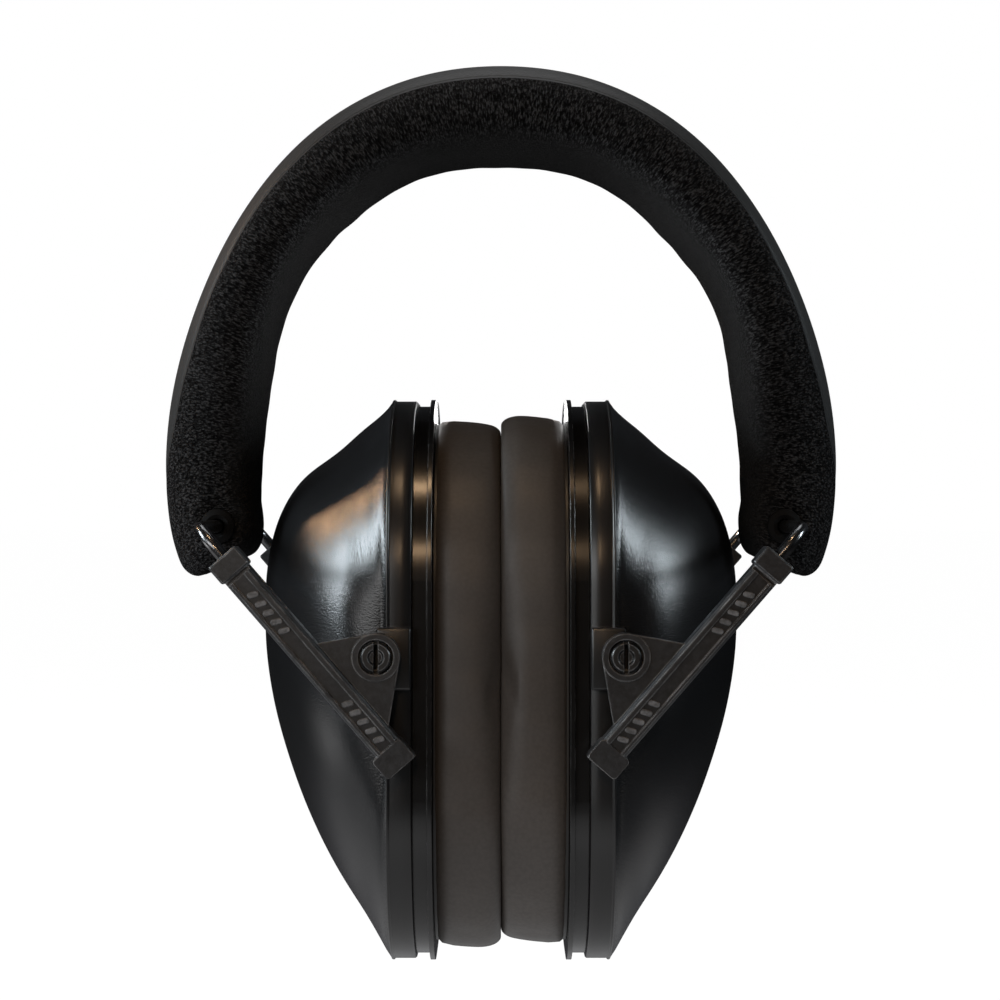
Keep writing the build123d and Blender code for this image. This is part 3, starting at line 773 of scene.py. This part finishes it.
def build_rib_crowns(side, sign, y_sign):
    """rubbed crowns on the slanted grip ribs of one arm"""
    verts, faces = [], []
    for place in RIB_PLACES:
        first = len(verts)
        for width, length, height in RIB_LAYERS:
            for x, y in rounded_rect(width, length, 0.34, RIB_POINTS):
                along = place + x * math.cos(RIB_TILT) - y * math.sin(RIB_TILT)
                across = -0.1 + x * math.sin(RIB_TILT) + y * math.cos(RIB_TILT)
                verts.append(((-PIVOT_X + along * ARM_COS - across * ARM_SIN) * -sign * MM,
                              (45.0 + height) * y_sign * MM,
                              (PIVOT_Z + along * ARM_SIN + across * ARM_COS) * MM))
        for low in (first, first + RIB_POINTS):
            high = low + RIB_POINTS
            for j in range(RIB_POINTS):
                k = (j + 1) % RIB_POINTS
                faces.append((low + j, low + k, high + k, high + j))
        faces.append([first + 2 * RIB_POINTS + j for j in range(RIB_POINTS)])
        faces.append([first + RIB_POINTS - 1 - j for j in range(RIB_POINTS)])
    end = "front" if y_sign < 0 else "rear"
    ribs = new_mesh(f"{side}_{end}_arm_ribs", verts, faces, smooth=False)
    fix_normals(ribs)
    shade(ribs, RIB_NYLON)
    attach(ribs, f"{side}_arms")


for side, sign in SIDES:
    for y_sign in (-1, 1):
        build_rib_crowns(side, sign, y_sign)

# ---------------------------------------------------------------- cup shells
STRETCH = 28.0      # cup and cushion outlines are this much taller than wide
SHELL_POINTS = 144
SHELL_Z = 54.0
# x, bottom z, top z, from the rim to the tip of the dome
DOME = np.array([
    (20.9, 0.4, 107.3), (23.0, 3.4, 105.3), (26.0, 7.8, 103.3), (30.0, 13.8, 99.6),
    (34.0, 20.8, 96.5), (38.0, 29.4, 93.6), (41.0, 37.5, 90.0), (43.5, 45.6, 85.2),
    (45.2, 53.6, 79.3), (46.0, 59.6, 74.0), (46.3, 66.8, 66.8)])
DOME_X = DOME[0, 0]
DOME_RISE = 25.4
DOME_HALF_DEPTH = 39.6
# x, width, corner radius of the rim, from its inner edge to the foot of the dome
RIM = (
    (16.3, 74.6, 31.2), (16.12, 74.9, 31.35), (16.12, 79.0, 33.5), (16.35, 79.4, 33.7),
    (18.2, 79.4, 33.7), (20.0, 79.4, 33.7), (20.22, 79.3, 33.65), (20.34, 79.9, 33.95),
    (20.55, 80.0, 34.0), (20.76, 79.8, 33.9), (20.88, 79.2, 33.6))
SATIN_BANDS = 9     # bands of the rim in satin plastic
# y and radius along the round boss under the pivot
BOSS = ((35.0, 4.0), (42.0, 4.0), (42.28, 3.9), (42.36, 3.6), (42.36, 2.0))
BOSS_POINTS = 48
BOSS_X, BOSS_Z = 22.2, 60.7


def dome_rings(steps):
    # half depth: flatter near the rim, tighter where the dome turns to the side
    half_depth = DOME_HALF_DEPTH * np.clip(
        1 - ((DOME[:, 0] - DOME_X) / DOME_RISE) ** 2.2, 0, 1) ** (1 / 1.42)
    length = np.r_[0, np.cumsum(np.hypot(np.diff(DOME[:, 0]),
                                         np.diff((DOME[:, 2] - DOME[:, 1]) / 2)))]
    query = np.linspace(0, 1, steps) * length[-1]
    rings = []
    for x, bottom, top, depth in spline(length, np.c_[DOME, half_depth], query):
        height, depth = max(top - bottom, 0.05), max(depth, 0.02)
        radius = min(height / 2, depth)
        # squarer corners next to the rim, nearly round further out
        if x > 24:
            radius *= 0.985
        else:
            radius = min(34.0, radius * 0.86 + (x - DOME_X) * 0.6)
        outline = rounded_rect(2 * depth, height, radius, SHELL_POINTS)
        rings.append(np.c_[np.full(SHELL_POINTS, x), outline[:, 0],
                           (bottom + top) / 2 + outline[:, 1]])
    return rings


def smoothed(grid, passes=12):
    """relax the grid so that no section line shows in the highlights"""
    for _ in range(passes):
        relaxed = grid.copy()
        relaxed[2:-1] = 0.5 * grid[2:-1] + 0.125 * (
            grid[1:-2] + grid[3:] + np.roll(grid, 1, 1)[2:-1] + np.roll(grid, -1, 1)[2:-1])
        grid = relaxed
    return grid


def rim_ring(x, width, radius):
    outline = rounded_rect(width, width + STRETCH, radius, SHELL_POINTS)
    return np.c_[np.full(SHELL_POINTS, x), outline[:, 0], SHELL_Z + outline[:, 1]]


def lining_ring(ring):
    """a shell ring drawn in by the wall, for the inside of the cup"""
    centre = ring.mean(0)
    offset = ring - centre
    size = np.linalg.norm(offset[:, 1:], axis=1)[:, None]
    inside = centre + offset * np.maximum(1 - 2.2 / np.maximum(size, 1e-6), 0.0)
    inside[:, 0] = ring[:, 0] - 1.9
    return inside


def rounded_block(name, lo, hi, radius):
    """moulded block with rounded edges"""
    bm = bmesh.new()
    bmesh.ops.create_cube(bm, size=1.0)
    centre, size = (np.array(lo) + hi) / 2, np.array(hi) - lo
    for v in bm.verts:
        v.co = Vector((centre + np.array(v.co) * size) * MM)
    bmesh.ops.bevel(bm, geom=list(bm.edges) + list(bm.verts), offset=radius * MM,
                    segments=4, affect="EDGES", profile=0.5)
    mesh = bpy.data.meshes.new(name)
    bm.to_mesh(mesh)
    bm.free()
    smooth_faces(mesh)
    return link_object(name, mesh)


def join(parts, name):
    bm = bmesh.new()
    materials = []
    for part in parts:
        own = part.data.materials
        materials += [m for m in own if m not in materials]
        for face in part.data.polygons:
            face.material_index = materials.index(own[face.material_index])
        bm.from_mesh(part.data)
    mesh = bpy.data.meshes.new(name)
    bm.to_mesh(mesh)
    bm.free()
    for material in materials:
        mesh.materials.append(material)
    joined = link_object(name, mesh)
    for part in parts:
        bpy.data.objects.remove(part)
    return joined


def pivot_mount(side, sign, y_sign):
    """block and round boss on one side wall of the cup"""
    x0, x1 = sorted((sign * 16.15, sign * 22.4))
    y0, y1 = sorted((y_sign * 35.0, y_sign * 42.38))
    block = rounded_block(f"{side}_block{y_sign}", (x0, y0, 54.5), (x1, y1, 65.7), radius=0.5)
    angle = np.linspace(0, 2 * np.pi, BOSS_POINTS, endpoint=False)
    boss = rings_mesh(f"{side}_boss{y_sign}", [
        np.c_[sign * BOSS_X + radius * np.cos(angle), np.full(BOSS_POINTS, y_sign * y),
              BOSS_Z + radius * np.sin(angle)] for y, radius in BOSS])
    for part in (block, boss):
        shade(part, RIM_ABS)
    return [block, boss]


def build_cup_shell(side, sign, shell_rings):
    flip = (sign, 1, 1)
    outer = rings_mesh(f"{side}_dome", [r * flip for r in shell_rings], cap_start=False)
    shade(outer, SHELL_ABS, RIM_ABS)
    slots = [1 if f.vertices[0] // SHELL_POINTS < SATIN_BANDS and len(f.vertices) == 4 else 0
             for f in outer.data.polygons]
    outer.data.polygons.foreach_set("material_index", slots)
    # inside surface of the cup, seen through the ear opening
    lining = rings_mesh(f"{side}_lining", [lining_ring(r) * flip for r in shell_rings[3::3]],
                        cap_start=False)
    shade(lining, RIM_ABS)
    lining.data.flip_normals()
    mounts = pivot_mount(side, sign, -1) + pivot_mount(side, sign, 1)
    shell = join([outer, lining] + mounts, f"{side}_cup_shell")
    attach(shell, f"{side}_cup")
    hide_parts(f"{side}_shell")


dome = smoothed(np.array(dome_rings(44)))
shell_rings = [rim_ring(*row) for row in RIM] + list(dome[1:])
for side, sign in SIDES:
    build_cup_shell(side, sign, shell_rings)

# ---------------------------------------------------------------- ear cushions
CUSHION_Z = 53.5
CUSHION_BACK, CUSHION_FACE = 12.35, -0.55   # x of the cup side and of the ear side
CUSHION_STEPS = 132                         # sections round the ring
FACE_POINTS, BACK_POINTS = 28, 6            # in one section
CUSHION_POINTS = FACE_POINTS + BACK_POINTS
FOAM_POINTS = 72
FOAM_FACE_X = 19.0                          # foam insert rings nearer the ear are dimpled
# x, bottom z, top z, half depth of the acoustic foam, from the cup side to the ear side
FOAM_INSERT = (
    (28.3, 44.0, 66.0, 9.0), (28.3, 30.0, 82.0, 19.0), (28.1, 21.0, 92.0, 25.5),
    (26.8, 17.0, 95.0, 28.5), (23.0, 11.0, 98.8, 32.0), (20.2, 7.5, 100.6, 34.2),
    (19.2, 8.5, 99.6, 33.4), (18.95, 12.0, 96.0, 30.0), (18.95, 20.0, 88.0, 24.0),
    (18.95, 30.0, 78.0, 16.0), (18.95, 42.0, 66.0, 8.0))


def cushion_sections():
    """sections running from the outer back seam over the face to the inner back seam,
    then across the back"""
    outer = rounded_rect(73.4, 73.4 + STRETCH, 30.7, CUSHION_STEPS)
    inner = rounded_rect(39.6, 39.6 + STRETCH, 17.3, CUSHION_STEPS)
    angle = np.linspace(np.pi, 0, FACE_POINTS)
    # share of the way from outer to inner outline, and crown of the face
    face = 0.5 + 0.5 * np.sign(np.cos(angle)) * np.abs(np.cos(angle)) ** 0.32
    crown = np.abs(np.sin(angle)) ** 0.32
    share = np.r_[face, np.linspace(1, 0, BACK_POINTS + 2)[1:-1]][:, None]
    x = np.r_[CUSHION_BACK - (CUSHION_BACK - CUSHION_FACE) * crown,
              np.full(BACK_POINTS, CUSHION_BACK)]
    return [np.c_[x, a * (1 - share) + b * share] for a, b in zip(outer, inner)]


def build_cushion(side, sign, sections, sag, phase):
    rings = [(r + (0, 0, CUSHION_Z)) * (sign, 1, 1) for r in sections]
    cushion = rings_mesh(f"{side}_cushion", rings, loop=True)
    row = np.tile(np.arange(CUSHION_POINTS), CUSHION_STEPS)
    step = np.repeat(np.arange(CUSHION_STEPS), CUSHION_POINTS)
    back = (row >= FACE_POINTS - 1) | (row == 0)
    inflate(cushion, back.astype(float), pressure=5.0, frames=18, limit=1.6,
            tension=10, bending=0.6)
    # small gathers radiating from the welded edges, and a very slight unevenness
    angle = step / CUSHION_STEPS * 2 * np.pi
    near_outer = np.exp(-((row - 1.5) / 2.2) ** 2)
    near_inner = np.exp(-((row - (FACE_POINTS - 2.5)) / 2.2) ** 2)
    gather = (np.sin(angle * 37 + 1.7 * np.sin(angle * 5 + phase)) * 0.09
              + np.sin(angle * 61 + phase) * 0.05) * (near_outer + near_inner)
    gather += (np.sin(angle * 3 + phase) * 0.06 + np.sin(angle * 7 - phase) * 0.03) * ~back
    co = get_co(cushion) + vertex_normals(cushion) * (gather * MM)[:, None]
    # the two cushions press flat against each other in the middle plane
    x = np.minimum(np.maximum(co[:, 0] * sign, 0.0), 12.42 * MM)
    co[:, 0] = x * sign
    # the ear side shifts up or down against the back
    co[:, 2] += sag * MM * np.clip((12.4 * MM - x) / (9 * MM), 0, 1)
    set_co(cushion, co)
    shade(cushion, LEATHERETTE)
    subdivide(cushion)
    apply_all(cushion)
    co = get_co(cushion)
    co[:, 0] = np.maximum(co[:, 0] * sign, 0.0) * sign
    set_co(cushion, co)
    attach(cushion, f"{side}_cup")
    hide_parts(f"{side}_cushion_cover")


def build_cushion_core(side, sign, sections):
    """foam ring inside the skin"""
    rings = []
    for section in sections:
        centre = section.mean(0)
        ring = centre + (section - centre) * np.array([0.72, 0.84, 0.84])
        ring[:, 2] += CUSHION_Z
        ring[:, 0] = np.clip(ring[:, 0], 2.0, 11.0) * sign
        rings.append(ring)
    core = rings_mesh(f"{side}_cushion_core", rings, loop=True)
    shade(core, GREY_FOAM)
    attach(core, f"{side}_cup")
    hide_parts(f"{side}_cushion_foam")


def build_foam_insert(side, sign):
    """acoustic foam pad in the cup: soft edges and a dimpled face"""
    rings = []
    for x, bottom, top, depth in FOAM_INSERT:
        radius = min(depth, (top - bottom) / 2) * 0.9
        y, z = rounded_rect(2 * depth, top - bottom, radius, FOAM_POINTS).T
        dimple = 0.35 * np.sin(y * 0.55) * np.sin(z * 0.55) if x < FOAM_FACE_X else 0
        rings.append(np.c_[(np.full(FOAM_POINTS, x) + dimple) * sign, y,
                           (bottom + top) / 2 + z])
    insert = rings_mesh(f"{side}_acoustic_foam", rings)
    shade(insert, DARK_FOAM)
    subdivide(insert)
    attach(insert, f"{side}_cup")
    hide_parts(f"{side}_foam_insert")


sections = cushion_sections()
for (side, sign), sag, phase in zip(SIDES, (-0.6, 0.9), (1.0, 2.3)):
    build_cushion(side, sign, sections, sag, phase)
    build_cushion_core(side, sign, sections)
    build_foam_insert(side, sign)

# ---------------------------------------------------------------- stage (metres from here on)
FLOOR_Z = -0.034        # low enough for the cups at full arm length
CARD_Z = -0.0335
CARD_UNIT = 1.55        # metres in one unit of the card's pattern
WHITE = (1, 1, 1)


def floor_plane(name, z):
    corners = [(-6, -3, z), (6, -3, z), (6, 9, z), (-6, 9, z)]
    plane = new_mesh(name, corners, [(0, 1, 2, 3)], smooth=False)
    plane.visible_shadow = False
    return plane


def floor_paint(name, grey, glow):
    mat = Material(name)
    mat.set(Roughness=0.9, Base_Color=rgba(grey), Specular_IOR_Level=0.0,
            Emission_Color=rgba(WHITE), Emission_Strength=glow)
    return mat


def build_floor():
    """pale floor for the camera, open from below"""
    floor = floor_plane("floor", FLOOR_Z)
    floor.visible_glossy = False
    floor.visible_diffuse = False
    mat = floor_paint("pale_floor_paint", grey=0.05, glow=0.995)
    below = mat.node("NewGeometry").outputs["Backfacing"]
    clear = mat.node("BsdfTransparent").outputs[0]
    mix = mat.node("MixShader", {0: below, 1: mat.bsdf.outputs[0], 2: clear})
    mat.feed(mat.surface, mix.outputs[0])
    shade(floor, mat.material)


def card_glow(mat, x, y):
    """strength of the glowing patches, in pattern units"""
    def within(value, inner, outer):
        """1 below inner, 0 above outer, smooth between"""
        return mat.fade(value, zero_at=outer, one_at=inner, interpolation="SMOOTHSTEP")

    def distance(value, centre):
        return mat.math("ABSOLUTE", mat.add(value, -centre))

    middle = within(distance(y, -0.02), 0.03, 0.10)
    left_near = mat.mul(within(mat.mul(x, -1.0), 0.11, 0.18), mat.math("LESS_THAN", x, 0.0))
    left_far = within(distance(x, -0.235), 0.035, 0.085)
    left = mat.add(mat.mul(left_near, 0.62), mat.mul(left_far, 3.2))
    right = mat.mul(within(x, 0.06, 0.12), mat.math("GREATER_THAN", x, 0.0))
    right = mat.mul(right, 0.6)
    front = mat.mul(within(distance(y, -0.13), 0.03, 0.08),
                    within(mat.math("ABSOLUTE", x), 0.05, 0.12))
    sides = mat.mul(mat.mul(middle, mat.add(left, right)), 0.74)
    return mat.add(sides, mat.mul(front, 0.55))


def build_floor_card():
    """reflection card on the floor; the camera looks through it"""
    card = floor_plane("floor_card", CARD_Z)
    card.visible_camera = False
    mat = floor_paint("pale_floor", grey=0.22, glow=0.98)
    pattern = mat.node("VectorMath", {0: mat.node("TexCoord").outputs["Object"],
                                      1: (1 / CARD_UNIT, 1 / CARD_UNIT, 0.0)},
                       operation="MULTIPLY").outputs[0]
    radius = mat.node("VectorMath", {0: pattern}, operation="LENGTH").outputs["Value"]
    # painted pool of light: the card's grey is lightest round the cups and falls to dark further
    # out
    tone = mat.ramp(radius, (0.04, (0.17, 0.17, 0.18)), (0.09, (0.10, 0.10, 0.11)),
                    (0.19, (0.02, 0.02, 0.02)), (0.60, (0.010, 0.010, 0.010)))
    dark = mat.node("BsdfDiffuse", {0: tone}).outputs[0]
    axes = mat.node("SeparateXYZ", {0: pattern}).outputs
    glow = mat.node("Emission", {"Strength": card_glow(mat, axes["X"], axes["Y"])}).outputs[0]
    both = mat.node("AddShader", {0: dark, 1: glow}).outputs[0]
    mat.camera_switch(other=both, camera=mat.bsdf.outputs[0])
    shade(card, mat.material)


def build_world():
    """white to the camera, faint blue light for everything else"""
    world = bpy.data.worlds.new("studio")
    bpy.context.scene.world = world
    nodes = Nodes(world, "OutputWorld")
    seen = nodes.node("Background", {"Color": rgba(WHITE), "Strength": 1.0})
    ambient = nodes.node("Background", {"Color": (0.85, 0.9, 1.0, 1), "Strength": 0.03})
    nodes.camera_switch(other=ambient.outputs[0], camera=seen.outputs[0])


build_floor()
build_floor_card()
build_world()


# ---------------------------------------------------------------- lights
def area_light(name, place, rotation, size, power, color):
    light = bpy.data.lights.new(name, "AREA")
    light.energy = power
    light.color = color
    light.shape = "RECTANGLE"
    light.size, light.size_y = size
    ob = link_object(name, light)
    ob.location = place
    ob.rotation_mode = "QUATERNION"
    ob.rotation_quaternion = rotation
    ob.visible_camera = False


def aimed_light(name, place, target, size, power, color=WHITE):
    aim = Vector(target) - Vector(place)
    area_light(name, place, aim.to_track_quat("-Z", "Y"), size, power, color)


def strip_light(name, start, end, width, power):
    """a long narrow softbox whose long side runs from start to end"""
    start, end = Vector(start), Vector(end)
    middle = (start + end) / 2
    z = (middle - Vector(PRODUCT)).normalized()
    x = (end - start).normalized()
    x = (x - z * x.dot(z)).normalized()
    rotation = Matrix((x, z.cross(x), z)).transposed().to_quaternion()
    area_light(name, middle, rotation, ((end - start).length, width), power, COOL)


PRODUCT = (0, 0, 0.08)
CUPS = (-0.02, 0, 0.09)
COOL = (0.84, 0.94, 1.0)
WARM = (1.0, 0.66, 0.38)
LEFT_BEND = (-0.745, -0.22, 0.24)    # where the two left strips meet

strip_light("key_left", (-0.670, 0.01, 0.445), LEFT_BEND, width=0.10, power=4.7)
strip_light("key_low", LEFT_BEND, (-0.70, -0.36, 0.12), width=0.12, power=0.45)
strip_light("key_right", (0.69, 0.0, 0.41), (0.745, -0.18, 0.27), width=0.10, power=2.4)
aimed_light("top", (0.0, 0.24, 0.76), (0, 0, 0.15), size=(0.6, 0.35), power=1.35,
            color=(0.96, 0.98, 1.0))
aimed_light("front_fill", (-0.50, -0.80, 0.22), PRODUCT, size=(0.5, 0.35), power=2.15)
for side, sign in SIDES:
    aimed_light(f"arch_{side}", (sign * 0.010, 0.0, 0.104), (sign * 0.045, 0.0, 0.120),
                size=(0.025, 0.025), power=0.036)
aimed_light("warm_rim_a", (-0.05, -0.36, 0.72), CUPS, size=(0.04, 0.05), power=0.70, color=WARM)
aimed_light("warm_rim_b", (-0.05, -0.76, 0.31), CUPS, size=(0.04, 0.05), power=0.52, color=WARM)
aimed_light("warm_side_left", (-0.612, 0.19, 0.457), CUPS, size=(0.036, 0.036), power=0.85,
            color=(1.0, 0.60, 0.32))

# ---------------------------------------------------------------- camera
lens = bpy.data.cameras.new("camera")
camera = link_object("camera", lens)
lens.sensor_width = 36.0
lens.lens = 85.473468
lens.shift_x = -0.001
lens.clip_start, lens.clip_end = 0.01, 30
camera.location = (0, -0.467, 0.0886)
camera.rotation_euler = (math.radians(90), 0, 0)
scene = bpy.context.scene
scene.camera = camera
scene.view_settings.view_transform = "Standard"
scene.view_settings.look = "None"
